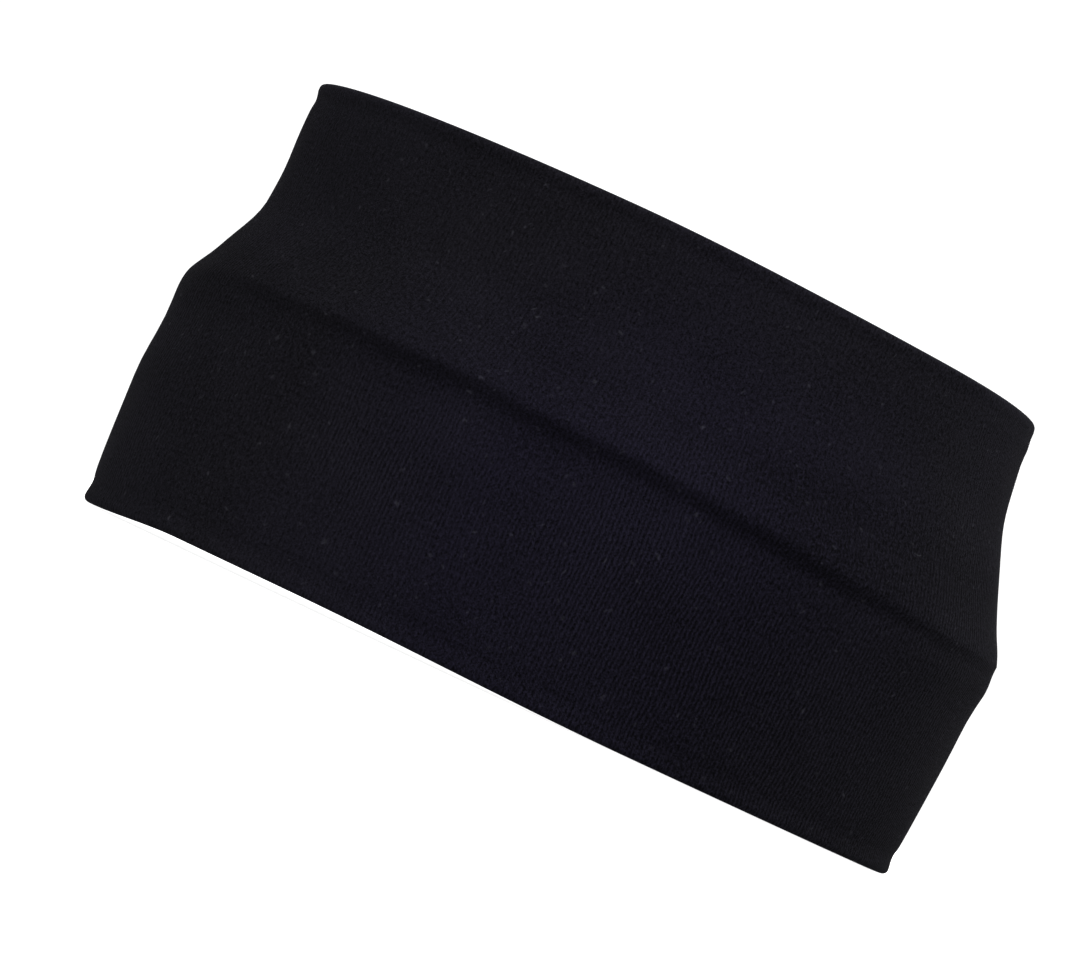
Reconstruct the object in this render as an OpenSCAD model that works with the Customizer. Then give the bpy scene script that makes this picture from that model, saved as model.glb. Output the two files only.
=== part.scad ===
// Wide stretch headband: one rectangle of jersey sewn into a tube by a long seam that runs
// round the middle of its inner side, then closed into a ring by an upright seam at the nape.
// The ring stands open, as on a head: nape at +X, forehead at -X, bottom fold on z = 0.

/* [Ring] */
// Length of the open ring, forehead to nape
ring_length = 184; // [160:1:210]
// Width of the open ring, temple to temple
ring_width = 112; // [96:1:130]
// Height of the band, bottom fold to top fold
band_height = 99; // [90:1:115]
// How much fuller the nape half of the oval is than the forehead half
nape_fullness = 0.08; // [0:0.01:0.12]

/* [Taper] */
// How far the top edge steps in at the forehead
forehead_inset = 9; // [0:0.5:12]
// Height over which that step is made
forehead_step = 24; // [16:1:40]
// How far the top edge leans in at the nape
nape_inset = 13; // [0:0.5:16]
// How far the bottom edge tucks in all round
hem_inset = 2.4; // [0:0.1:4]

/* [Cloth] */
// Thickness of one layer of jersey
cloth_t = 0.8; // [0.6:0.1:1]
// Air between the outer and the inner layer
layer_gap = 0.5; // [0.4:0.1:0.8]
// Air left between two plies where a thread lies
ply_gap = 0.35; // [0.3:0.05:0.5]

/* [Long seam] */
// Height of the long seam above the bottom edge, at the nape and the forehead
seam_z = 48; // [42:1:54]
// How much higher it runs over the temples
temple_lift = 4; // [0:0.5:6]
// How much of that lift moves from the nape half to the forehead half
lift_tilt = 4; // [0:0.5:6]
// How far the ridge over it still stands out where the ring bends tightly, at nape and forehead
end_ridge = 0.5; // [0:0.1:1.5]
// Width of the seam allowance shut in between the layers
seam_allowance = 6; // [5:0.5:8]
// Stitches round the long seam
long_stitches = 96; // [60:12:120]

/* [Closing seam] */
// Place of the closing seam, measured from the nape towards the far side
closing_angle = 8; // [4:1:14]
// Width of its allowance, laid flat against the inner layer
closing_allowance = 7; // [6:0.5:9]
// Stitches up the closing seam
closing_stitches = 30; // [20:1:36]

/* [Thread] */
// Width of a stitch
thread_w = 0.4; // [0.3:0.05:0.5]
// Thickness of a stitch as it lies flattened on the cloth
thread_t = 0.25; // [0.2:0.01:0.25]

/* [Hidden] */

cloth_colour = "#1b1a20";
thread_colour = "#26252b";

// Steps round the oval, round a fold and round a turned edge. A fold has an odd number of
// steps, so that its lowest one is the flat strip that the band stands on.
ring_steps = 60;
fold_steps = 5;
turn_steps = 4;

// Clearance between plies that lie on each other, and half the slit of the closing seam
skim = 0.1;
slit = 0.2;
// Straight stretch at each end of a fold or turn, where it meets the next piece squarely
tail = 0.5;

// A section is drawn as depth d, measured inwards from the outer surface, against height z
half = cloth_t / 2;
fold_r = (cloth_t + layer_gap) / 2;
outer_d = half;
inner_d = outer_d + 2 * fold_r;
low_fold_z = (half + fold_r) * cos(90 / fold_steps);
top_fold_z = band_height - low_fold_z;

// The upper edge of the cloth turns back on itself; the lower edge bends out behind it
turn_r = (cloth_t + ply_gap) / 2;
turn_z = seam_z + skim / 2 + half + turn_r;
upper_ply_d = inner_d - 2 * turn_r;
bend_r = 0.75 * cloth_t;
bend_z = seam_z - skim / 2 - half - bend_r;
lower_ply_d = upper_ply_d - cloth_t - skim;
allowance_top = seam_z + seam_allowance;

// The shut-in allowance lifts the outer layer into a ridge
ridge_rise = outer_d + half - (lower_ply_d - half - ply_gap);
ridge_foot = seam_z - 4;
ridge_full = seam_z - 0.5;
ridge_end = allowance_top + 0.5;
ridge_top = ridge_end + 5;

// Stitch rows on the long seam, as heights above the seam
needle_row = 1.6;
looper_row = 2.4;

// Stitch rows on the closing seam, as distances from the seam
left_needle_row = 1.4;
right_needle_row = 3.4;
closing_looper_row = 4;
// Room left by the closing allowance below each fold
closing_end = 1;

function smooth(u) = let(c = min(max(u, 0), 1)) c * c * (3 - 2 * c);
function unit(v) = v / norm(v);
function steps(a, b, n) = [for (i = [0:n - 1]) a + (b - a) * i / n];

// The oval seen from above, t = 0 at the nape and t = 90 at the far temple
half_length = ring_length / 2;
half_width = ring_width / 2;
function oval(t) =
    [half_length * cos(t), half_width * sin(t) * (1 + nape_fullness * cos(t))];
function oval_run(t) = [
    -half_length * sin(t),
    half_width * (cos(t) * (1 + nape_fullness * cos(t)) - nape_fullness * pow(sin(t), 2))
];
function outward(t) = let(r = unit(oval_run(t))) [r[1], -r[0]];
function degrees_per_mm(t) = 180 / PI / norm(oval_run(t));

// How far the wall stands inside the oval at each height
function nape_lean(z) = let(u = max(0, z - seam_z) / (band_height - seam_z))
    nape_inset * (1 - pow(1 - u, 1.6));
function forehead_lean(z) = forehead_inset * smooth((z - seam_z) / forehead_step);
function hem_lean(z) = hem_inset * pow(max(0, seam_z - z) / seam_z, 1.5);
function ridge(z) = ridge_rise
    * smooth((z - ridge_foot) / (ridge_full - ridge_foot))
    * (1 - smooth((z - ridge_end) / (ridge_top - ridge_end)));
function ridge_press(t, z) = ridge(z) * (1 - end_ridge / ridge_rise) * pow(cos(t), 4);
function wall_lean(t, z) = let(nape = (1 + cos(t)) / 2)
    nape * nape_lean(z) + (1 - nape) * forehead_lean(z) + hem_lean(z) + ridge_press(t, z);

// The long seam climbs over the temples, and the cloth above and below it gives way evenly
function seam_lift(t) = (temple_lift - lift_tilt * cos(t)) * pow(sin(t), 2);
function lifted(t, z) = z + seam_lift(t)
    * (z < seam_z ? z / seam_z : (band_height - z) / (band_height - seam_z));

// The point of the wall at depth d, height z before the seam's lift
function wall_point(t, z, d) = let(p = oval(t) - outward(t) * (d + wall_lean(t, z)))
    [p[0], p[1], lifted(t, z)];

// Heights at which every upright piece of cloth is sectioned, so that its layers stay parallel
wall_rows = concat(
    steps(low_fold_z, ridge_foot, 4),
    steps(ridge_foot, ridge_full, 4),
    steps(ridge_full, ridge_end, 2),
    steps(ridge_end, ridge_top, 4),
    steps(ridge_top, top_fold_z, 5)
);
function rows_between(a, b) = concat([a], [for (z = wall_rows) if (z > a + tail && z < b - tail) z], [b]);

// An arc of a section path, as [d, z] points
function arc_path(d, z, r, from, to, n) =
    [for (i = [0:n]) let(a = from + (to - from) * i / n) [d + r * cos(a), z + r * sin(a)]];

// The two faces of a layer of cloth that follows a section path
function path_normal(path, i) =
    let(v = unit(path[min(i + 1, len(path) - 1)] - path[max(i - 1, 0)])) [-v[1], v[0]];
function path_side(path, h) = [for (i = [0:len(path) - 1]) path[i] + h * path_normal(path, i)];
function section_loop(path) = let(back = path_side(path, -half), last = len(path) - 1)
    concat(path_side(path, half), [for (i = [0:last]) back[last - i]]);

// The section loop carried to each place round the oval
function layer_loops(path, places) = let(loop = section_loop(path))
    [for (t = places) [for (p = loop) wall_point(t, p[1], p[0])]];

// Faces of one solid lofted through its loops; its points start at index base
function loft_faces(base, loops, size) = concat(
    [for (s = [0:loops - 2], i = [0:size - 1])
        let(a = base + s * size + i, b = base + s * size + (i + 1) % size)
        each [[a, b, b + size], [a, b + size, a + size]]],
    [for (i = [0:size / 2 - 2])
        let(a = base + i, b = base + size - 1 - i)
        each [[b, b - 1, a + 1], [b, a + 1, a]]],
    [for (i = [0:size / 2 - 2])
        let(a = base + (loops - 1) * size + i, b = base + loops * size - 1 - i)
        each [[a, a + 1, b - 1], [a, b - 1, b]]]
);

// Several lofted solids of one layout in one body of geometry
module lofts(solids) {
    loops = len(solids[0]);
    size = len(solids[0][0]);
    polyhedron(
        points = [for (solid = solids, loop = solid) each loop],
        faces = [for (k = [0:len(solids) - 1]) each loft_faces(k * loops * size, loops, size)]
    );
}

// A layer of cloth that goes round the whole ring, open only at the closing seam
ring_gap = slit * degrees_per_mm(closing_angle);
ring_places = [for (i = [0:ring_steps])
    closing_angle + ring_gap + (360 - 2 * ring_gap) * i / ring_steps];
module ring_layer(path) lofts([layer_loops(path, ring_places)]);

// A stitch that runs round the ring, and one that runs up it
function run_loop(t, z, d) = let(w = thread_w / 2, h = thread_t / 2)
    [for (c = [[-h, -w], [-h, w], [h, w], [h, -w]]) wall_point(t, z + c[1], d + c[0])];
function rise_loop(t, z, d) = let(w = thread_w / 2 * degrees_per_mm(t), h = thread_t / 2)
    [for (c = [[-w, -h], [-w, h], [w, h], [w, -h]]) wall_point(t + c[0], z, d + c[1])];

module outer_layer()
    color(cloth_colour) ring_layer(concat(
        [[inner_d, low_fold_z + tail]],
        arc_path(outer_d + fold_r, low_fold_z, fold_r, 0, -180 + 180 / fold_steps, fold_steps - 1),
        [for (z = wall_rows) [outer_d - ridge(z), z]],
        arc_path(outer_d + fold_r, top_fold_z, fold_r, 180, 0, fold_steps),
        [[inner_d, top_fold_z - tail]]
    ));

module inner_layer_upper()
    color(cloth_colour) ring_layer([for (z = rows_between(turn_z + tail, top_fold_z - tail)) [inner_d, z]]);

module inner_layer_lower()
    color(cloth_colour) ring_layer([for (z = rows_between(low_fold_z + tail, bend_z - tail)) [inner_d, z]]);

module long_allowance_upper_ply()
    color(cloth_colour) ring_layer(concat(
        [[inner_d, turn_z + tail]],
        arc_path(inner_d - turn_r, turn_z, turn_r, 0, -180, turn_steps),
        [[upper_ply_d, allowance_top]]
    ));

module long_allowance_lower_ply()
    color(cloth_colour) ring_layer(concat(
        [[inner_d, bend_z - tail]],
        arc_path(inner_d - bend_r, bend_z, bend_r, 0, 90, 3),
        arc_path(lower_ply_d + bend_r, bend_z + 2 * bend_r, bend_r, -90, -180, 3),
        [[lower_ply_d, allowance_top]]
    ));

// Stitches of the long seam, a loop of places that skips the closing seam
stitch_angle = 360 / long_stitches;
stitch_places = [for (i = [0:long_stitches - 1]) closing_angle + (i + 0.2) * stitch_angle];
outer_stitch_d = lower_ply_d - half - ply_gap / 2;
inner_stitch_d = upper_ply_d + half + ply_gap / 2;

module long_seam_needle_thread()
    color(thread_colour) lofts([for (t = stitch_places)
        [for (u = [t, t + 0.6 * stitch_angle]) run_loop(u, seam_z + needle_row, outer_stitch_d)]]);

module long_looper(d, from)
    color(thread_colour) lofts([for (t = stitch_places)
        [rise_loop(t, seam_z + from, d), rise_loop(t + 0.4 * stitch_angle, allowance_top, d)]]);

module long_seam_upper_looper_thread() long_looper(outer_stitch_d, looper_row);

module long_seam_lower_looper_thread() long_looper(inner_stitch_d, looper_row);

// The closing seam's four plies lie on the inner layer, one on another
per_mm = degrees_per_mm(closing_angle);
pile_d = inner_d + half + ply_gap;
module closing_ply(k) {
    places = [for (i = [0:4]) closing_angle + closing_allowance * per_mm * i / 4];
    path = [for (z = rows_between(closing_end, band_height - closing_end))
        [pile_d + half + k * (cloth_t + skim), z]];
    color(cloth_colour) lofts([layer_loops(path, places)]);
}
module closing_allowance_left_inner_ply() closing_ply(0);
module closing_allowance_left_outer_ply() closing_ply(1);
module closing_allowance_right_outer_ply() closing_ply(2);
module closing_allowance_right_inner_ply() closing_ply(3);

// Stitches on the pile's free face, and on the face that lies on the inner layer
closing_step = (band_height - 4 * closing_end) / closing_stitches;
closing_heights = [for (i = [0:closing_stitches - 1]) 2 * closing_end + (i + 0.2) * closing_step];
face_stitch_d = pile_d + 4 * cloth_t + 3 * skim + ply_gap / 2;
back_stitch_d = inner_d + half + ply_gap / 2;

module closing_needle(row)
    color(thread_colour) lofts([for (z = closing_heights)
        [for (u = [z, z + 0.7 * closing_step])
            rise_loop(closing_angle + row * per_mm, u, face_stitch_d)]]);
module closing_seam_left_needle_thread() closing_needle(left_needle_row);
module closing_seam_right_needle_thread() closing_needle(right_needle_row);

module closing_looper(d)
    color(thread_colour) lofts([for (z = closing_heights) [
        run_loop(closing_angle + closing_looper_row * per_mm, z, d),
        run_loop(closing_angle + closing_allowance * per_mm, z + 0.45 * closing_step, d)
    ]]);
module closing_seam_upper_looper_thread() closing_looper(face_stitch_d);
module closing_seam_lower_looper_thread() closing_looper(back_stitch_d);

outer_layer();
inner_layer_upper();
inner_layer_lower();
long_allowance_upper_ply();
long_allowance_lower_ply();
long_seam_needle_thread();
long_seam_upper_looper_thread();
long_seam_lower_looper_thread();
closing_allowance_left_inner_ply();
closing_allowance_left_outer_ply();
closing_allowance_right_outer_ply();
closing_allowance_right_inner_ply();
closing_seam_left_needle_thread();
closing_seam_right_needle_thread();
closing_seam_upper_looper_thread();
closing_seam_lower_looper_thread();
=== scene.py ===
"""Looks of the wide stretch headband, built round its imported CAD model.

Shapes are worked out in millimetres in the CAD frame (nape at +X, forehead at -X, bottom fold
on z = 0) and turned into metres when a mesh is made. Materials and lights use metres.
"""
import math

import bpy
import numpy as np
from mathutils import Matrix, Vector


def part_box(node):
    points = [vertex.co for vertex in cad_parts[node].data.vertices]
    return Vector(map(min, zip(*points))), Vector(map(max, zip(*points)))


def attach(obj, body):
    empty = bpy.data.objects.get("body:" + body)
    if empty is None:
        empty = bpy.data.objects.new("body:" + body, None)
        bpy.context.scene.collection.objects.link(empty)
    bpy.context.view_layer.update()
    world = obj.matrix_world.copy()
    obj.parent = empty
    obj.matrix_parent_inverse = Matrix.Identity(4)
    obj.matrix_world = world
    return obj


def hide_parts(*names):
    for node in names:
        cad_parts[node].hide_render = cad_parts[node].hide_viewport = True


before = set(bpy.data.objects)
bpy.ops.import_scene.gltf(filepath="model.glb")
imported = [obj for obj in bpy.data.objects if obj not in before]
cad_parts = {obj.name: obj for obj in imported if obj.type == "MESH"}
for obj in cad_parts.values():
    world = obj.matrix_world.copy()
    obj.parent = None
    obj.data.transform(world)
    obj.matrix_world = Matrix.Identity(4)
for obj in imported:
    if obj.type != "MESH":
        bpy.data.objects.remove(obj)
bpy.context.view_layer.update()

MM = 0.001
TAU = 2 * math.pi


def node_box(name):
    """A CAD node's lowest and highest corner, in millimetres."""
    low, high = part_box(name)
    return np.array(low) / MM, np.array(high) / MM


# --- Sizes, in millimetres ------------------------------------------------------------------

HEIGHT = float(node_box("outer_layer")[1][2])
HALF_LENGTH = 92.0
HALF_WIDTH = 56.0
NAPE_FULLNESS = 0.08

# How far the top edge stands inside the oval at either end, and the hem inside the seam line
NAPE_LEAN = 13.0
FOREHEAD_LEAN = 9.0
HEM_LEAN = 2.4

CLOTH = 0.8
HALF_CLOTH = CLOTH / 2
LAYER_GAP = 0.5
OUTER_D = HALF_CLOTH
FOLD_R = (CLOTH + LAYER_GAP) / 2
INNER_D = OUTER_D + 2 * FOLD_R

SEAM_Z = 48.0
SEAM_GAP = 0.06
RIDGE_RISE = 2.2
CREASE_BELOW = 1.6
CREASE_DEPTH = 0.3
CREASE_WIDTH = 1.7
# The turned edges at the long seam, round the ring and where they run into the closing seam
RING_TURN_R = 0.57
END_TURN_R = 0.25

# The closing seam, a little round from the nape towards the far side
CLOSING_ANGLE = math.radians(8)
VALLEY_R = 2.2
FLAP = 7.0

# The jersey: ribs round the ring, and rows of loops over the section of the cloth
WALES = 520
COURSE = 0.62
CLOTH_START = 20.0


# --- The ring and its wall ------------------------------------------------------------------

def smooth(u):
    c = np.clip(u, 0.0, 1.0)
    return c * c * (3 - 2 * c)


def oval(t):
    return np.stack([HALF_LENGTH * np.cos(t),
                     HALF_WIDTH * np.sin(t) * (1 + NAPE_FULLNESS * np.cos(t))], -1)


def oval_run(t):
    return np.stack([-HALF_LENGTH * np.sin(t),
                     HALF_WIDTH * (np.cos(t) * (1 + NAPE_FULLNESS * np.cos(t))
                                   - NAPE_FULLNESS * np.sin(t) ** 2)], -1)


def outward(t):
    run = oval_run(t)
    run = run / np.linalg.norm(run, axis=-1, keepdims=True)
    return np.stack([run[..., 1], -run[..., 0]], -1)


def nape_share(t):
    return (1 + np.cos(t)) / 2


def wall_lean(t, z):
    """How far the wall stands inside the oval, so that the top edge is shorter than the hem."""
    above = np.clip((z - SEAM_Z) / (HEIGHT - SEAM_Z), 0, 1)
    nape = NAPE_LEAN * (1 - (1 - above) ** 1.6)
    forehead = FOREHEAD_LEAN * smooth((z - SEAM_Z) / 24.0)
    hem = HEM_LEAN * np.clip((SEAM_Z - z) / SEAM_Z, 0, 1) ** 1.5
    share = nape_share(t)
    return share * nape + (1 - share) * forehead + hem


def seam_share(z):
    """How much a height moves with the long seam: all at the seam, nothing at the two edges."""
    return np.clip(np.where(z < SEAM_Z, z / SEAM_Z, (HEIGHT - z) / (HEIGHT - SEAM_Z)), 0, 1)


def seam_lift(t):
    """The long seam climbs over the temples, more towards the forehead."""
    return (4.0 - 4.0 * np.cos(t)) * np.sin(t) ** 2


def lifted(t, z):
    return z + seam_lift(t) * seam_share(z)


def hump(z, middle, width):
    """A smooth rise to 1 at the middle."""
    return np.exp(-((z - middle) / width) ** 2)


def unevenness(t, z):
    """Slow dents and swells of hand-stretched cloth, in millimetres outwards."""
    free = smooth(z / 12) * smooth((HEIGHT - z) / 12)
    waves = (0.22 * np.sin(3 * t + 0.045 * z + 0.6) + 0.16 * np.sin(7 * t - 0.07 * z + 2.1)
             + 0.10 * np.sin(13 * t + 0.11 * z + 4.0) + 0.05 * np.sin(23 * t - 0.19 * z + 1.3))
    forehead = (1.5 * smooth((44 - z) / 16) + 0.3 * smooth(z / 12) - 0.3
                - 0.8 * hump(z, 57, 4.5) - 0.5 * hump(z, 79, 7))
    nape = (0.9 * hump(z, 43, 5) - 0.6 * hump(z, 76, 8)
            + 0.6 * hump(z, 94.5, 2.6) + 0.4 * hump(z, 50.5, 3))
    ends = forehead * (1 - nape_share(t)) ** 4 + nape * nape_share(t) ** 4
    return waves * (0.35 + 0.65 * free) + ends


def edge_drop(t, z):
    """The top edge hangs at both ends, more at the nape; the bottom edge lifts at the brow."""
    x = HALF_LENGTH * np.cos(t)
    top = 1.0 * np.abs(np.cos(t)) ** 5 + 1.5 * smooth((x + 18) / 80)
    low = 1.3 * smooth((x + 92) / 22) * (1 - smooth((x + 45) / 75))
    return low * (1 - smooth(z / 20)) - top * smooth((z - 0.6 * HEIGHT) / (0.4 * HEIGHT))


def sewn_height(t, z):
    """The tube isn't sewn quite level: the long seam and its ridge run higher at the brow."""
    c = np.cos(t)
    rise = 0.35 + 3.0 * smooth((-c - 0.4) / 0.55) - 1.0 * smooth((c - 0.5) / 0.45)
    rise = (rise + 0.25 * np.sin(9 * t + 1.0) + 0.18 * np.sin(17 * t + 2.0)
            + 0.08 * np.sin(37 * t + 0.5))
    return z + rise * seam_share(z)


def wall_point(t, z, d):
    """The point of the wall at depth d behind its outer surface."""
    z = sewn_height(t, z)
    p = oval(t) - outward(t) * (d + wall_lean(t, z) - unevenness(t, z))[..., None]
    up = lifted(t, z) + edge_drop(t, z)
    return np.concatenate([p, up[..., None]], -1)


# --- The section of the cloth ---------------------------------------------------------------

def arc(d, z, r, start, end, n):
    a = np.radians(np.linspace(start, end, n + 1))
    return np.stack([d + r * np.cos(a), z + r * np.sin(a)], -1)


def ridge_shape(z):
    """The shut-in allowance lifts the outer layer: a steep underside and a long upper side."""
    foot, full = SEAM_Z - 2.2, SEAM_Z + 1.6
    crest_end, top = SEAM_Z + 5.4, SEAM_Z + 14.5
    return smooth((z - foot) / (full - foot)) * (1 - smooth((z - crest_end) / (top - crest_end)))


def crease_shape(z):
    """The cloth is drawn in just under the ridge."""
    return hump(z, SEAM_Z - CREASE_BELOW, CREASE_WIDTH)


def edge_roll(z):
    """The folds stand out as soft rolls, with a shallow groove behind them."""
    reach = np.minimum(z, HEIGHT - z)
    return 0.32 * hump(reach, 0.9, 1.5) - 0.22 * hump(reach, 4.2, 1.6)


def section(ridge, turn_r):
    """The path of the cloth, from one turned edge at the long seam to the other, as d and z."""
    low_z = HALF_CLOTH + FOLD_R
    top_z = HEIGHT - low_z
    turn_top = SEAM_Z + SEAM_GAP + HALF_CLOTH + turn_r
    turn_low = SEAM_Z - SEAM_GAP - HALF_CLOTH - turn_r
    wall = np.concatenate([np.linspace(low_z, 7, 9, endpoint=False),
                           np.linspace(7, SEAM_Z - 6, 11, endpoint=False),
                           np.linspace(SEAM_Z - 6, SEAM_Z + 8, 30, endpoint=False),
                           np.linspace(SEAM_Z + 8, HEIGHT - 7, 16, endpoint=False),
                           np.linspace(HEIGHT - 7, top_z, 9, endpoint=False)])
    outside = np.stack([OUTER_D - ridge * RIDGE_RISE * ridge_shape(wall)
                        + CREASE_DEPTH * ridge * crease_shape(wall) - edge_roll(wall), wall], -1)
    low_start = outside[0, 0] - OUTER_D
    top_start = outside[-1, 0] - OUTER_D
    inner_low = np.linspace(turn_low, low_z, 22, endpoint=False)
    inner_up = np.linspace(top_z, turn_top, 24)[1:]
    lower_turn = arc(INNER_D - turn_r, turn_low, turn_r, 90, 0, 6)[:-1]
    upper_turn = arc(INNER_D - turn_r, turn_top, turn_r, 0, -90, 6)[1:]
    low_fold = arc(OUTER_D + FOLD_R, low_z, FOLD_R, 0, -180, 10)[:-1]
    low_fold[:, 0] += low_start * smooth(np.linspace(0, 1, 10))
    top_fold = arc(OUTER_D + FOLD_R, top_z, FOLD_R, 180, 0, 10)
    top_fold[:, 0] += top_start * smooth(np.linspace(1, 0, 11))
    return np.concatenate([
        lower_turn,
        np.stack([np.full(len(inner_low), INNER_D), inner_low], -1),
        low_fold, outside, top_fold,
        np.stack([np.full(len(inner_up), INNER_D), inner_up], -1),
        upper_turn,
    ])


def along_section(path):
    """How far each point of the path is from its start."""
    return np.concatenate([[0], np.cumsum(np.linalg.norm(np.diff(path, axis=0), axis=-1))])


def section_place(z):
    """Where the outer face of the band reaches the height z, along its section."""
    path = section(1.0, RING_TURN_R)
    outside = path[:, 0] < OUTER_D + 0.6
    return float(np.interp(z, path[outside, 1], along_section(path)[outside]))


def sides(path, h):
    """The two faces of the cloth, h to either side of its path."""
    run = np.gradient(path, axis=0)
    run /= np.linalg.norm(run, axis=-1, keepdims=True)
    normal = np.stack([-run[:, 1], run[:, 0]], -1)
    return path + h * normal, path - h * normal


# --- Mesh helpers ---------------------------------------------------------------------------

def new_mesh(name, points, faces, uvs=None):
    """A smooth-shaded object from points in millimetres."""
    mesh = bpy.data.meshes.new(name)
    mesh.from_pydata((np.asarray(points) * MM).tolist(), [], faces)
    mesh.shade_smooth()
    if uvs is not None:
        layer = mesh.uv_layers.new(name="cloth")
        corners = np.empty(len(mesh.loops), int)
        mesh.loops.foreach_get("vertex_index", corners)
        layer.data.foreach_set("uv", np.asarray(uvs)[corners].astype(np.float32).ravel())
    obj = bpy.data.objects.new(name, mesh)
    bpy.context.scene.collection.objects.link(obj)
    return obj


def loft(name, loops, uvs=None):
    """A closed skin through loops of equal length, with both ends filled by strips."""
    columns, size = loops.shape[:2]
    half = size // 2
    faces = []
    for c in range(columns - 1):
        a = c * size
        for i in range(size):
            j = (i + 1) % size
            faces.append((a + i, a + size + i, a + size + j, a + j))
    last = (columns - 1) * size
    for i in range(half - 1):
        j = size - 1 - i
        faces.append((i, i + 1, j - 1, j))
        faces.append((last + j, last + j - 1, last + i + 1, last + i))
    return new_mesh(name, loops.reshape(-1, 3), faces,
                    None if uvs is None else uvs.reshape(-1, 2))


def tube(points, r, n):
    """Points and faces of a round thread along a line."""
    run = np.gradient(points, axis=0)
    run /= np.linalg.norm(run, axis=-1, keepdims=True)
    side = np.cross(run[0], [0.0, 0.0, 1.0] if abs(run[0][2]) < 0.9 else [1.0, 0.0, 0.0])
    rings, turn = [], np.arange(n) * TAU / n
    for p, v in zip(points, run):
        side = side - v * np.dot(side, v)
        side /= np.linalg.norm(side)
        up = np.cross(v, side)
        rings.append(p + r * (np.cos(turn)[:, None] * side + np.sin(turn)[:, None] * up))
    faces = []
    for c in range(len(points) - 1):
        for i in range(n):
            j = (i + 1) % n
            faces.append((c * n + i, c * n + j, (c + 1) * n + j, (c + 1) * n + i))
    faces.append(tuple(range(n))[::-1])
    faces.append(tuple((len(points) - 1) * n + i for i in range(n)))
    return np.concatenate(rings), faces


# --- The cloth of the band ------------------------------------------------------------------

RADIANS_PER_MM = 1 / float(np.linalg.norm(oval_run(np.array(CLOSING_ANGLE))))
FLAP_COLUMNS, TURN_COLUMNS, RING_COLUMNS = 8, 8, 276
FLAP_SQUEEZE = 0.7
RIDGE_FADE = 9.0
FLAP_HALF = OUTER_D + (INNER_D - OUTER_D) * FLAP_SQUEEZE + HALF_CLOTH

RING_ANGLE = np.linspace(0, TAU, 4001)
RING_REACH = np.concatenate([[0], np.cumsum(np.linalg.norm(
    np.diff(oval(CLOSING_ANGLE + RING_ANGLE), axis=0), axis=-1))])
RING_LENGTH = float(RING_REACH[-1])


def flap_place(q, d, kept):
    """Depth and distance from the seam for cloth that has turned in and lies as the flap.

    kept is +1 for the end that arrives from the near side, whose cloth lies over the other's,
    and -1 for the end that is folded back under it. q runs from the turn to the raw edge.
    """
    squeeze = 1 - (1 - FLAP_SQUEEZE) * smooth(q / 1.5)
    spread = OUTER_D + (d - OUTER_D) * squeeze
    return VALLEY_R + q, 2 * VALLEY_R + kept * spread


def end_columns(kept):
    """(place, depth) functions for the columns of one end, from its raw edge to the wall."""
    columns = []
    for q in np.linspace(FLAP, 0, FLAP_COLUMNS, endpoint=False):
        columns.append(lambda d, q=q: flap_place(q, d, kept))
    for a in np.linspace(90, 0, TURN_COLUMNS, endpoint=False):
        c, s = math.cos(math.radians(a)), math.sin(math.radians(a))
        columns.append(lambda d, c=c, s=s: (
            VALLEY_R - (VALLEY_R + kept * d) * c,
            VALLEY_R + (VALLEY_R + kept * d) * s))
    for a in np.linspace(90, 0, TURN_COLUMNS, endpoint=False):
        c, s = math.cos(math.radians(a)), math.sin(math.radians(a))
        columns.append(lambda d, c=c, s=s: (
            -kept * (VALLEY_R - (VALLEY_R - d) * s),
            VALLEY_R - (VALLEY_R - d) * c))
    return columns


def ridge_shown(t):
    """How much of the ridge stands outside; the rest of it presses the inner layer inwards.

    It fades towards both ends, sooner towards the forehead.
    """
    return 1 - 0.92 * np.abs(np.cos(t)) ** (2.5 + 0.6 * np.cos(t))


def ridge_strength(t):
    """The ridge is not equally sharp all round."""
    return (0.92 + 0.08 * np.sin(2 * t + 0.9) + 0.07 * np.sin(5 * t + 0.4)
            + 0.04 * np.sin(13 * t + 2))


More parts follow.
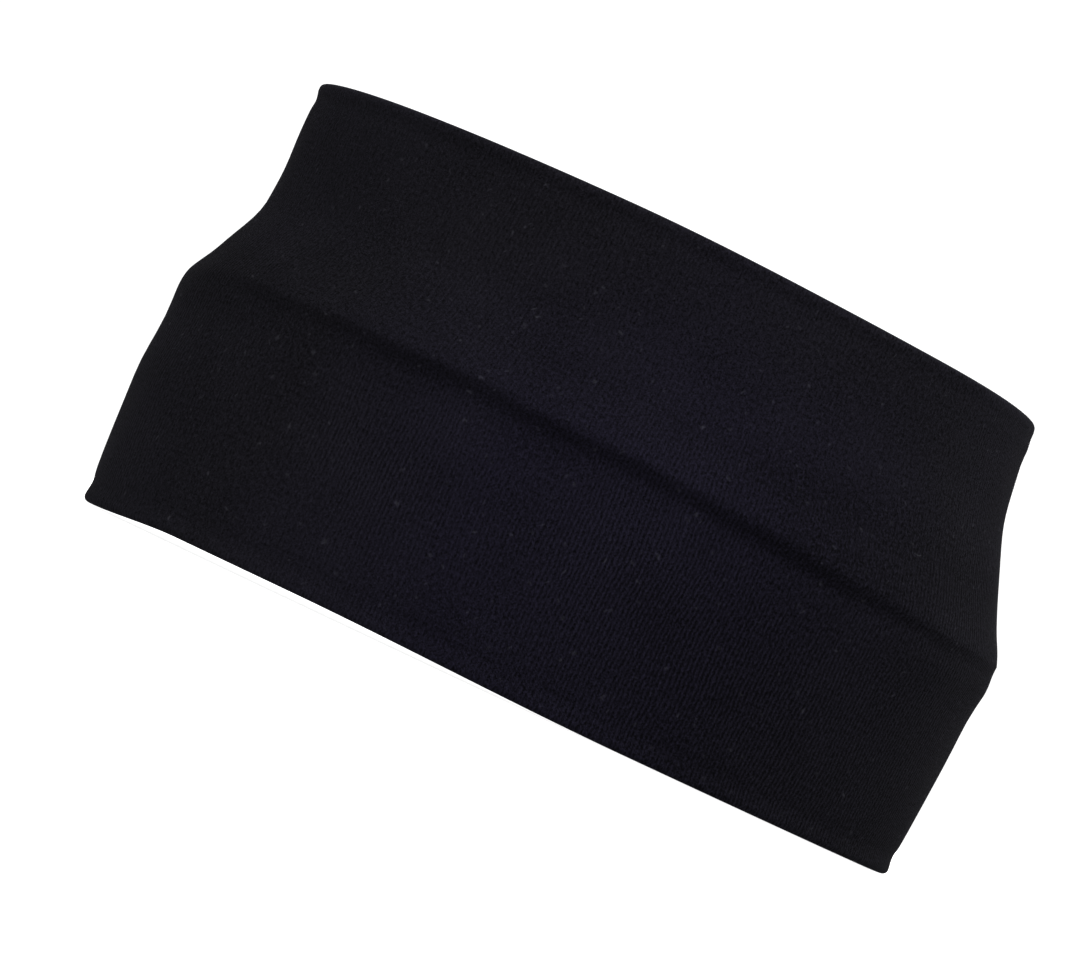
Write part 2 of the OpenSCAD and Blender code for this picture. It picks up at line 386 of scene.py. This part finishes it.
def build_band_cloth():
    reach = np.linspace(VALLEY_R, RING_LENGTH - VALLEY_R, RING_COLUMNS)
    places = CLOSING_ANGLE + np.interp(reach, RING_REACH, RING_ANGLE)
    loops, along = [], []

    def add(ridge, turn_r, put, q):
        front, back = sides(section(ridge, turn_r), HALF_CLOTH)
        loop = np.concatenate([front, back[::-1]])
        loops.append(put(loop[:, 0], loop[:, 1]))
        along.append(q)

    def put_near(column):
        def put(d, z):
            s, depth = column(d)
            t = CLOSING_ANGLE + s * RADIANS_PER_MM
            return wall_point(t * np.ones_like(z), z, depth * np.ones_like(z))
        return put

    def put_on_wall(t, hidden):
        """The hidden share of the ridge presses on the layer inside it."""
        def put(d, z):
            press = hidden * RIDGE_RISE * ridge_shape(z) * (d > 1)
            return wall_point(np.full_like(z, t), z, d + press)
        return put

    quarter = VALLEY_R * math.pi / 2
    turn_start = -2 * quarter
    spots = np.concatenate([
        np.linspace(turn_start - FLAP, turn_start, FLAP_COLUMNS, endpoint=False),
        np.linspace(turn_start, 0, 2 * TURN_COLUMNS, endpoint=False)])
    for column, q in zip(end_columns(-1), spots):
        add(0.0, END_TURN_R, put_near(column), q)
    for t, s in zip(places, reach):
        near = min(s, RING_LENGTH - s)
        free = float(smooth((near - VALLEY_R) / RIDGE_FADE))
        full, shown = ridge_strength(t) * free, ridge_shown(t)
        add(full * shown, END_TURN_R + (RING_TURN_R - END_TURN_R) * free,
            put_on_wall(t, full * (1 - shown)), s)
    for column, q in zip(end_columns(1)[::-1], RING_LENGTH - spots[::-1]):
        add(0.0, END_TURN_R, put_near(column), q)

    step = along_section(section(1.0, RING_TURN_R))
    v = np.concatenate([step, step[::-1]]) * MM
    u = (np.array(along) + CLOTH_START) * MM
    uvs = np.stack(np.broadcast_arrays(u[:, None], v[None, :]), -1)
    return loft("band_cloth", np.array(loops), uvs)


# --- The seam allowances shut inside the band -----------------------------------------------

UPPER_PLY_D, LOWER_PLY_D = 0.62, -0.24
PLY_FOOT, PLY_TOP = SEAM_Z + 1.0, SEAM_Z + 6.0
PLY_POINTS, PLY_COLUMNS = 9, 300
CLEAR_OF_FLAP = 12.0


def seam_point(along, z, d):
    """A point beside the long seam: along the ring from the closing seam, and d deep."""
    t = CLOSING_ANGLE + np.interp(along, RING_REACH, RING_ANGLE)
    press = (1 - ridge_shown(t)) * RIDGE_RISE * ridge_strength(t) * ridge_shape(z)
    return wall_point(t, z, d + press)


def build_allowance(name, d):
    """One ply of the long seam's allowance, with slightly rounded and uneven edges."""
    loops, uvs = [], []
    heights = np.linspace(PLY_FOOT, PLY_TOP, PLY_POINTS)
    side = np.concatenate([np.full(PLY_POINTS, HALF_CLOTH), np.full(PLY_POINTS, -HALF_CLOTH)])
    side[[0, PLY_POINTS - 1, PLY_POINTS, -1]] *= 0.6
    for along in np.linspace(CLEAR_OF_FLAP, RING_LENGTH - CLEAR_OF_FLAP, PLY_COLUMNS):
        edge = 0.18 * math.sin(along * 0.9) + 0.12 * math.sin(along * 2.3 + 1)
        z = heights + edge * smooth((heights - PLY_FOOT) / (PLY_TOP - PLY_FOOT))
        z = np.concatenate([z, z[::-1]])
        loops.append(seam_point(np.full_like(z, along), z, d - side))
        uvs.append(np.stack([np.full_like(z, (along + CLOTH_START) * MM), z * MM], -1))
    return loft(name, np.array(loops), np.array(uvs))


# --- Sewing threads -------------------------------------------------------------------------

THREAD_R = 0.13
LONG_PITCH = 3.0
CLOSING_PITCH = 2.5
LONG_NEEDLE_UP = 1.4
CLOSING_NEEDLES = (1.1, 3.2)
CLOSING_END = 1.6


def flap_point(q, z, depth):
    """A point on the flap of the closing seam: q from its fold, depth behind the wall's face."""
    return wall_point(CLOSING_ANGLE + (VALLEY_R + q) * RADIANS_PER_MM, z, depth)


def spline(points, steps):
    """A smooth line through points, with steps pieces to each span."""
    p = np.concatenate([[2 * points[0] - points[1]], points, [2 * points[-1] - points[-2]]])
    u = (np.arange(steps) / steps)[:, None, None]
    a, b, c, d = p[:-3], p[1:-2], p[2:-1], p[3:]
    line = 0.5 * (2 * b + (c - a) * u + (2 * a - 5 * b + 4 * c - d) * u ** 2
                  + (3 * b - a - 3 * c + d) * u ** 3)
    return np.concatenate([line.transpose(1, 0, 2).reshape(-1, 3), points[-1:]])


def stitch_line(one_stitch, start, end, pitch):
    """Control points (across, along, height) of a thread, from one stitch's own points."""
    count = int((end - start) / pitch)
    pitch = (end - start) / count
    rng = np.random.default_rng(7)
    points = []
    for i in range(count):
        slack = rng.uniform(-0.06, 0.06, 2)
        for across, along, height in one_stitch:
            points.append((across + slack[0], start + (i + along + 0.3 * slack[1]) * pitch, height))
    return np.array(points)


def overlock(edge, needles, face, back):
    """The threads of an overlock, with its raw edge at across = edge and its needles inwards.

    Heights run from back, the hidden face, to face. One stitch is one unit long.
    """
    over, under = face + THREAD_R, back - THREAD_R
    rim = edge + 1.6 * THREAD_R
    middle = (face + back) / 2
    reach = needles[0]
    half_way = edge * 0.5 + reach * 0.5
    threads = {}
    for name, at in zip(("left_needle", "right_needle"), needles):
        threads[name] = [(at, 0.04, over), (at, 0.30, over + 0.02), (at, 0.62, over + 0.02),
                         (at, 0.86, over), (at + 0.05, 0.93, middle), (at + 0.12, 0.96, under),
                         (at - 0.02, 1.0, under - 0.05), (at - 0.05, 0.98, middle)]
    threads["upper_looper"] = [(rim, 0.00, middle + 0.1), (edge - 0.2, 0.07, over),
                               (half_way, 0.30, over + 0.04), (reach + 0.2, 0.50, over + 0.1),
                               (reach - 0.22, 0.60, over + 0.14), (reach + 0.2, 0.70, over + 0.1),
                               (half_way, 0.82, over + 0.06), (edge - 0.2, 0.95, over)]
    threads["lower_looper"] = [(rim + 0.1, 0.10, middle - 0.1), (edge - 0.2, 0.16, under),
                               (half_way, 0.40, under - 0.04), (reach + 0.2, 0.60, under - 0.06),
                               (reach - 0.2, 0.70, under - 0.08), (reach + 0.2, 0.80, under - 0.06),
                               (half_way, 0.92, under - 0.04), (edge - 0.2, 1.04, under)]
    return threads


def build_thread(name, points, round_points):
    return new_mesh(name, *tube(points, THREAD_R, round_points))


def build_threads():
    """Every sewing thread, under the name of the CAD node that it replaces."""
    made = {}
    # Long seam: height up the ply, place along the ring, depth counted from the inside
    needle = PLY_FOOT + LONG_NEEDLE_UP
    long_seam = overlock(PLY_TOP, (needle, needle), -(LOWER_PLY_D - HALF_CLOTH),
                         -(UPPER_PLY_D + HALF_CLOTH))
    start = CLEAR_OF_FLAP + 1
    for name in ("left_needle", "upper_looper", "lower_looper"):
        p = spline(stitch_line(long_seam[name], start, RING_LENGTH - start, LONG_PITCH), 2)
        label = "long_seam_" + name.replace("left_", "") + "_thread"
        made[label] = build_thread(label, seam_point(p[:, 1], p[:, 0], -p[:, 2]), 5)
    # Closing seam: reach over the flap, height, depth
    closing = overlock(FLAP, CLOSING_NEEDLES, 2 * VALLEY_R + FLAP_HALF, 2 * VALLEY_R - FLAP_HALF)
    for name, stitch in closing.items():
        p = spline(stitch_line(stitch, CLOSING_END, HEIGHT - CLOSING_END, CLOSING_PITCH), 4)
        label = "closing_seam_" + name + "_thread"
        made[label] = build_thread(label, flap_point(p[:, 0], p[:, 1], p[:, 2]), 8)
    return made


# --- Materials ------------------------------------------------------------------------------

class Nodes:
    """Short names for building a node tree."""

    def __init__(self, name):
        self.material = bpy.data.materials.new(name)
        self.material.use_nodes = True
        self.tree = self.material.node_tree
        self.shader = self.tree.nodes["Principled BSDF"]

    def node(self, kind, **settings):
        n = self.tree.nodes.new(kind)
        for key, value in settings.items():
            setattr(n, key, value)
        return n

    def link(self, a, b):
        self.tree.links.new(a, b)

    def value(self, x, socket):
        if isinstance(x, (int, float)):
            socket.default_value = x
        else:
            self.link(x, socket)

    def math(self, operation, a, b=0.0, c=0.0):
        n = self.node("ShaderNodeMath", operation=operation)
        for x, socket in zip((a, b, c), n.inputs):
            self.value(x, socket)
        return n.outputs[0]

    def vary(self, x, noise, strength):
        """x, moved up and down by a noise around its middle."""
        swing = self.math("MULTIPLY", self.math("SUBTRACT", noise, 0.5), strength)
        return self.math("ADD", x, swing)

    def distance(self, spot, x, z, wide=1.0, high=1.0):
        """How far a spot is from x along the band and z up it, in half-widths and half-heights."""
        across = self.math("DIVIDE", self.math("SUBTRACT", spot.outputs[0], x), wide)
        up = self.math("DIVIDE", self.math("SUBTRACT", spot.outputs[2], z), high)
        square = self.math("ADD", self.math("POWER", across, 2.0), self.math("POWER", up, 2.0))
        return self.math("SQRT", square)

    def noise(self, vector, scale, detail=2.0, roughness=0.5):
        n = self.node("ShaderNodeTexNoise")
        self.link(vector, n.inputs["Vector"])
        n.inputs["Scale"].default_value = scale
        n.inputs["Detail"].default_value = detail
        n.inputs["Roughness"].default_value = roughness
        return n.outputs["Fac"]

    def remap(self, x, low, high, to_low=0.0, to_high=1.0):
        n = self.node("ShaderNodeMapRange")
        self.link(x, n.inputs["Value"])
        for key, v in (("From Min", low), ("From Max", high),
                       ("To Min", to_low), ("To Max", to_high)):
            n.inputs[key].default_value = v
        return n.outputs["Result"]

    def mix(self, share, a, b):
        n = self.node("ShaderNodeMix", data_type="RGBA")
        self.value(share, n.inputs["Factor"])
        for x, socket in ((a, n.inputs[6]), (b, n.inputs[7])):
            if isinstance(x, tuple):
                socket.default_value = (*x, 1.0)
            else:
                self.link(x, socket)
        return n.outputs[2]

    def scaled(self, colour, by):
        n = self.node("ShaderNodeVectorMath", operation="SCALE")
        self.link(colour, n.inputs[0])
        self.value(by, n.inputs["Scale"])
        return n.outputs[0]


# Bands paler along the folds, and painted highlight and painted shade along the ridge: height on
# the outer face, half-width, change on the sides, at the ends
PALE_FOLD_AND_PAINTED_LIGHT_BANDS = (
    (0.4, 2.4, 0.12, 0.12), (HEIGHT - 0.4, 2.4, 0.22, 0.22),
    (SEAM_Z + 3.0, 3.4, 0.06, 0.0), (SEAM_Z - 0.8, 3.6, -0.09, 0.0),
    (SEAM_Z + 12.0, 7.0, -0.10, -0.14), (SEAM_Z + 5.5, 6.0, 0.0, -0.12))
# Broad patches of painted light and shade, lighter or darker as the light falls: place along and up
# the band, half-width, half-height (metres), change
PAINTED_LIGHT_AND_SHADE_PATCHES = (
    (0.030, 0.080, 0.050, 0.024, 0.08), (-0.050, 0.008, 0.050, 0.030, 0.13),
    (0.040, 0.010, 0.047, 0.036, -0.20), (-0.020, 0.043, 0.045, 0.009, 0.12),
    (0.045, 0.060, 0.040, 0.014, -0.16), (0.050, 0.0505, 0.032, 0.006, -0.16),
    (-0.090, 0.053, 0.024, 0.012, -0.30), (0.078, 0.098, 0.032, 0.018, 0.24))
# Pale hairs of lint: direction, slenderness, cells to a metre, width, share left out, strength
LINT = (
    (0.3, 1.4, 330, 0.070, 0.62, 0.16), (2.2, 2.2, 260, 0.060, 0.70, 0.16),
    (1.3, 2.6, 60, 0.014, 0.86, 0.42), (2.9, 7.0, 40, 0.020, 0.84, 0.36))
LINT_COLOUR = (0.10, 0.10, 0.115)
DARK_GREY, DARK_BLUE = (0.0015, 0.0014, 0.0019), (0.0015, 0.0013, 0.0023)
LIGHT_GREY, LIGHT_BLUE = (0.0148, 0.0141, 0.0186), (0.0147, 0.0133, 0.0233)
DYE_CENTRE = (0.012, 0.030)
THREAD_DARK, THREAD_LIGHT = (0.0075, 0.0072, 0.0092), (0.022, 0.021, 0.027)


def jersey_material(wale_pitch):
    """Fine black jersey: upright ribs of loops, fuzz, faint mottling, a little lint, and painted
    light and shade.
    """
    m = Nodes("black_jersey")
    uv = m.node("ShaderNodeUVMap", uv_map="cloth").outputs["UV"]
    split = m.node("ShaderNodeSeparateXYZ")
    m.link(uv, split.inputs[0])
    place = m.node("ShaderNodeTexCoord").outputs["Object"]

    # Wales: each rib of loops runs from fold to fold, never quite straight or evenly spaced
    slow = m.noise(uv, 45, 2)
    wander = m.math("ADD", m.math("MULTIPLY", m.math("SUBTRACT", m.noise(uv, 700, 2), 0.5), 0.8),
                    m.math("MULTIPLY", m.math("SUBTRACT", slow, 0.5), 3.0))
    wale = m.math("ADD", m.math("MULTIPLY", split.outputs[0], 1 / (wale_pitch * MM)), wander)
    off_middle = m.math("ABSOLUTE", m.math("SUBTRACT", m.math("FRACT", wale), 0.5))
    valley = m.math("MULTIPLY", off_middle, 2.0)
    rib = m.math("COSINE", m.math("MULTIPLY", valley, math.pi))
    # Loops: each rib is a chain of V shapes, whose legs lean towards its middle
    jitter = m.math("MULTIPLY", m.noise(uv, 1100, 1), 1.2)
    row = m.math("ADD", m.math("MULTIPLY", split.outputs[1], 1 / (COURSE * MM)),
                 m.math("MULTIPLY", valley, -0.9))
    loop = m.math("COSINE", m.math("MULTIPLY", m.math("ADD", row, jitter), TAU))
    height = m.math("ADD", m.math("MULTIPLY", rib, 0.5), m.math("MULTIPLY", loop, 0.25))

    # Yarn: dull and bright fibres, and patches where the ribs are clearer or more felted
    fibre = m.noise(uv, 2600, 3, 0.75)
    yarn = m.noise(uv, 1200, 3, 0.65)
    mottle = m.noise(place, 45, 4, 0.6)
    spot = m.node("ShaderNodeSeparateXYZ")
    m.link(place, spot.inputs[0])
    clear = m.remap(m.noise(place, 22, 2, 0.5), 0.38, 0.62, 0.3, 1.0)
    clear = m.math("MULTIPLY", clear, m.remap(spot.outputs[2], 0.035, 0.075, 1.0, 0.45))
    clear = m.math("MULTIPLY", clear, m.remap(spot.outputs[0], -0.085, -0.03, 0.35, 1.0))
    felt = m.math("MULTIPLY_ADD", clear, -0.9, 2.6)
    felt = m.math("MULTIPLY", felt, m.remap(spot.outputs[0], -0.04, 0.06, 1.05, 1.5))
    # The ribs' valleys and the dips between loops are painted darker: painted shade in the hollows
    # of the knit
    tone = m.math("MULTIPLY", m.math("MULTIPLY", height, clear), 0.60)
    tone = m.vary(tone, yarn, m.math("MULTIPLY", felt, 0.8))
    tone = m.vary(tone, fibre, m.math("MULTIPLY", felt, 1.3))
    tone = m.vary(tone, mottle, 0.55)
    # Paler along both folds, more at the top; a painted highlight on the crest of the ridge,
    # painted shade in the crease under it and on the cloth above it
    aside = m.math("ABSOLUTE", spot.outputs[0])
    for z, wide, middle, end in PALE_FOLD_AND_PAINTED_LIGHT_BANDS:
        near = m.math("ABSOLUTE", m.math("SUBTRACT", split.outputs[1], section_place(z) * MM))
        change = m.remap(aside, 0.040, 0.080, middle, end)
        tone = m.math("ADD", tone, m.math("MULTIPLY", m.remap(near, wide * MM, 0.0), change))
    # Painted light and shade: broad patches made lighter or darker, as the light falls on the band
    for x, z, wide, high, change in PAINTED_LIGHT_AND_SHADE_PATCHES:
        away = m.distance(spot, x, z, wide, high)
        tone = m.math("ADD", tone, m.remap(away, 1.0, 0.2, 0.0, change))
    tone = m.remap(tone, -0.66, 0.66)
    # The dye is bluer in the middle of the broad sides, low down, and greyer around it
    away = m.vary(m.distance(spot, *DYE_CENTRE), m.noise(place, 24, 2, 0.5), 0.035)
    dye = m.remap(away, 0.074, 0.030)
    colour = m.mix(tone, m.mix(dye, DARK_GREY, DARK_BLUE), m.mix(dye, LIGHT_GREY, LIGHT_BLUE))

    # Pale fibres: short curved hairs of lint, each in its own cell, most cells empty
    bend = m.node("ShaderNodeVectorMath", operation="ADD")
    warp = m.node("ShaderNodeTexNoise")
    warp.inputs["Scale"].default_value = 420
    m.link(uv, warp.inputs["Vector"])
    m.link(uv, bend.inputs[0])
    m.link(m.scaled(warp.outputs["Color"], 0.0022), bend.inputs[1])
    for turn, long, scale, wide, left_out, strength in LINT:
        spin = m.node("ShaderNodeMapping")
        spin.inputs["Rotation"].default_value = (0, 0, turn)
        m.link(bend.outputs[0], spin.inputs["Vector"])
        stretch = m.node("ShaderNodeMapping")
        stretch.inputs["Scale"].default_value = (1.0, long, 1.0)
        m.link(spin.outputs["Vector"], stretch.inputs["Vector"])
        cells = m.node("ShaderNodeTexVoronoi", feature="F1")
        m.link(stretch.outputs["Vector"], cells.inputs["Vector"])
        cells.inputs["Scale"].default_value = scale
        chance = m.node("ShaderNodeSeparateXYZ")
        m.link(cells.outputs["Color"], chance.inputs[0])
        hair = m.remap(cells.outputs["Distance"], wide * 3, wide, 0.0, 1.0)
        hair = m.math("MULTIPLY", hair, m.remap(chance.outputs[0], left_out, 1.0, 0.0, strength))
        colour = m.mix(hair, colour, LINT_COLOUR)

    m.link(colour, m.shader.inputs["Base Color"])
    m.link(m.remap(fibre, 0.2, 0.8, 0.82, 0.98), m.shader.inputs["Roughness"])
    m.shader.inputs["Specular IOR Level"].default_value = 0.04
    m.shader.inputs["Sheen Weight"].default_value = 0.008
    m.shader.inputs["Sheen Roughness"].default_value = 0.5
    m.shader.inputs["Sheen Tint"].default_value = (0.72, 0.72, 0.85, 1.0)
    bump_height = m.math("ADD", m.math("MULTIPLY", height, 0.6), m.math("MULTIPLY", yarn, 0.7))
    bump_height = m.math("ADD", bump_height, m.math("MULTIPLY", fibre, 0.5))
    bump = m.node("ShaderNodeBump")
    bump.inputs["Strength"].default_value = 0.9
    bump.inputs["Distance"].default_value = 0.00022
    m.link(bump_height, bump.inputs["Height"])
    m.link(bump.outputs["Normal"], m.shader.inputs["Normal"])
    return m.material


def thread_material():
    """Black sewing thread: spun and twisted, a little glossier than the cloth."""
    m = Nodes("black_thread")
    place = m.node("ShaderNodeTexCoord").outputs["Object"]
    twist = m.node("ShaderNodeTexWave", wave_type="BANDS", bands_direction="DIAGONAL")
    m.link(place, twist.inputs["Vector"])
    twist.inputs["Scale"].default_value = 900
    twist.inputs["Distortion"].default_value = 2.0
    fuzz = m.noise(place, 6000, 3, 0.7)
    tone = m.math("ADD", m.math("MULTIPLY", twist.outputs["Fac"], 0.6),
                  m.math("MULTIPLY", fuzz, 0.4))
    # The grooves of the twist are painted darker: painted shade along the twist
    m.link(m.mix(tone, THREAD_DARK, THREAD_LIGHT), m.shader.inputs["Base Color"])
    m.link(m.remap(fuzz, 0.2, 0.8, 0.48, 0.66), m.shader.inputs["Roughness"])
    m.shader.inputs["Specular IOR Level"].default_value = 0.3
    bump = m.node("ShaderNodeBump")
    bump.inputs["Strength"].default_value = 0.7
    bump.inputs["Distance"].default_value = 0.00005
    m.link(tone, bump.inputs["Height"])
    m.link(bump.outputs["Normal"], m.shader.inputs["Normal"])
    return m.material


# --- Scene ----------------------------------------------------------------------------------

FLOOR_HALF = 3.0
FLOOR_DROP = 0.0003


def build_stage():
    """A plain white floor, lit from within so that it stays white up to the band."""
    corners = np.array([[-1, -1, 0], [1, -1, 0], [1, 1, 0], [-1, 1, 0]])
    floor = new_mesh("floor", corners * FLOOR_HALF / MM, [(0, 1, 2, 3)])
    floor.location.z = -FLOOR_DROP
    m = Nodes("white_floor")
    m.shader.inputs["Base Color"].default_value = (0.2, 0.2, 0.2, 1.0)
    m.shader.inputs["Roughness"].default_value = 1.0
    m.shader.inputs["Specular IOR Level"].default_value = 0.0
    m.shader.inputs["Emission Color"].default_value = (1.0, 1.0, 1.0, 1.0)
    m.shader.inputs["Emission Strength"].default_value = 0.85
    floor.data.materials.append(m.material)


# Name, place (metres), size (metres), power (watts)
SOFTBOXES = (
    ("key_softbox", (0.2, -0.45, 1.15), 0.7, 17),
    ("fill_softbox", (-0.45, -1.15, 0.2), 0.6, 12),
    ("rim_softbox", (0.9, 0.6, 0.65), 0.5, 4),
    ("back_softbox", (0.05, 1.15, 0.35), 0.6, 20))
LIT_CENTRE = (0.0, 0.0, 0.05)


def area_light(name, place, size, power):
    data = bpy.data.lights.new(name, "AREA")
    data.shape = "DISK"
    data.size = size
    data.energy = power
    obj = bpy.data.objects.new(name, data)
    obj.location = place
    aim = Vector(LIT_CENTRE) - Vector(place)
    obj.rotation_euler = aim.to_track_quat("-Z", "Y").to_euler()
    bpy.context.scene.collection.objects.link(obj)


def build_light():
    """A white room that is brighter overhead, and four softboxes."""
    world = bpy.data.worlds.new("studio")
    world.use_nodes = True
    tree = world.node_tree
    tree.nodes["Background"].inputs["Color"].default_value = (1, 1, 1, 1)
    split = tree.nodes.new("ShaderNodeSeparateXYZ")
    rise = tree.nodes.new("ShaderNodeMapRange")
    rise.inputs["To Min"].default_value, rise.inputs["To Max"].default_value = 1.05, 1.8
    tree.links.new(tree.nodes.new("ShaderNodeTexCoord").outputs["Generated"], split.inputs[0])
    tree.links.new(split.outputs[2], rise.inputs["Value"])
    tree.links.new(rise.outputs["Result"], tree.nodes["Background"].inputs["Strength"])
    bpy.context.scene.world = world
    for softbox in SOFTBOXES:
        area_light(*softbox)
    view = bpy.context.scene.view_settings
    view.view_transform = "Standard"
    view.gamma = 0.75


ROLL = math.radians(25.1)
VIEW_DISTANCE = 1000.0
VIEW_WIDTH = 222.4
VIEW_CENTRE = (-7.8, 0.0, 43.8)
EYE_HEIGHT = 10.0


def build_camera():
    """A long lens level with the foot of the band, turned about its own axis."""
    centre = np.array(VIEW_CENTRE)
    eye = np.array([centre[0], -VIEW_DISTANCE, EYE_HEIGHT])
    ahead = (centre - eye) / np.linalg.norm(centre - eye)
    level = np.array([1.0, 0.0, 0.0])
    upright = np.cross(level, ahead)
    right = level * math.cos(ROLL) + upright * math.sin(ROLL)
    up = upright * math.cos(ROLL) - level * math.sin(ROLL)
    data = bpy.data.cameras.new("camera")
    data.sensor_width = 36.0
    data.lens = 36.0 * float(np.linalg.norm(centre - eye)) / VIEW_WIDTH
    data.clip_start, data.clip_end = 0.05, 20.0
    camera = bpy.data.objects.new("camera", data)
    turn = Matrix((right, up, -ahead)).transposed().to_4x4()
    camera.matrix_world = Matrix.Translation(Vector(eye * MM)) @ turn
    bpy.context.scene.collection.objects.link(camera)
    bpy.context.scene.camera = camera


CLOTH_NODES = ["outer_layer", "inner_layer_upper", "inner_layer_lower",
               "closing_allowance_left_inner_ply", "closing_allowance_left_outer_ply",
               "closing_allowance_right_outer_ply", "closing_allowance_right_inner_ply"]


def finish_piece(piece, slot, material, *nodes):
    """Gives a piece its material and its body, and hides the CAD nodes that it stands for; slot is
    not used.
    """
    piece.data.materials.append(material)
    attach(piece, "root")
    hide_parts(*nodes)


build_camera()
build_stage()
build_light()

jersey = jersey_material(RING_LENGTH / WALES)
thread = thread_material()
band_cloth = build_band_cloth()
upper_ply = build_allowance("long_allowance_upper_cloth", UPPER_PLY_D)
lower_ply = build_allowance("long_allowance_lower_cloth", LOWER_PLY_D)
threads = build_threads()

finish_piece(band_cloth, "jersey", jersey, *CLOTH_NODES)
finish_piece(upper_ply, "jersey", jersey, "long_allowance_upper_ply")
finish_piece(lower_ply, "jersey", jersey, "long_allowance_lower_ply")
for name, piece in threads.items():
    finish_piece(piece, "thread", thread, name)
    piece.name = name.replace("_thread", "_sewn")
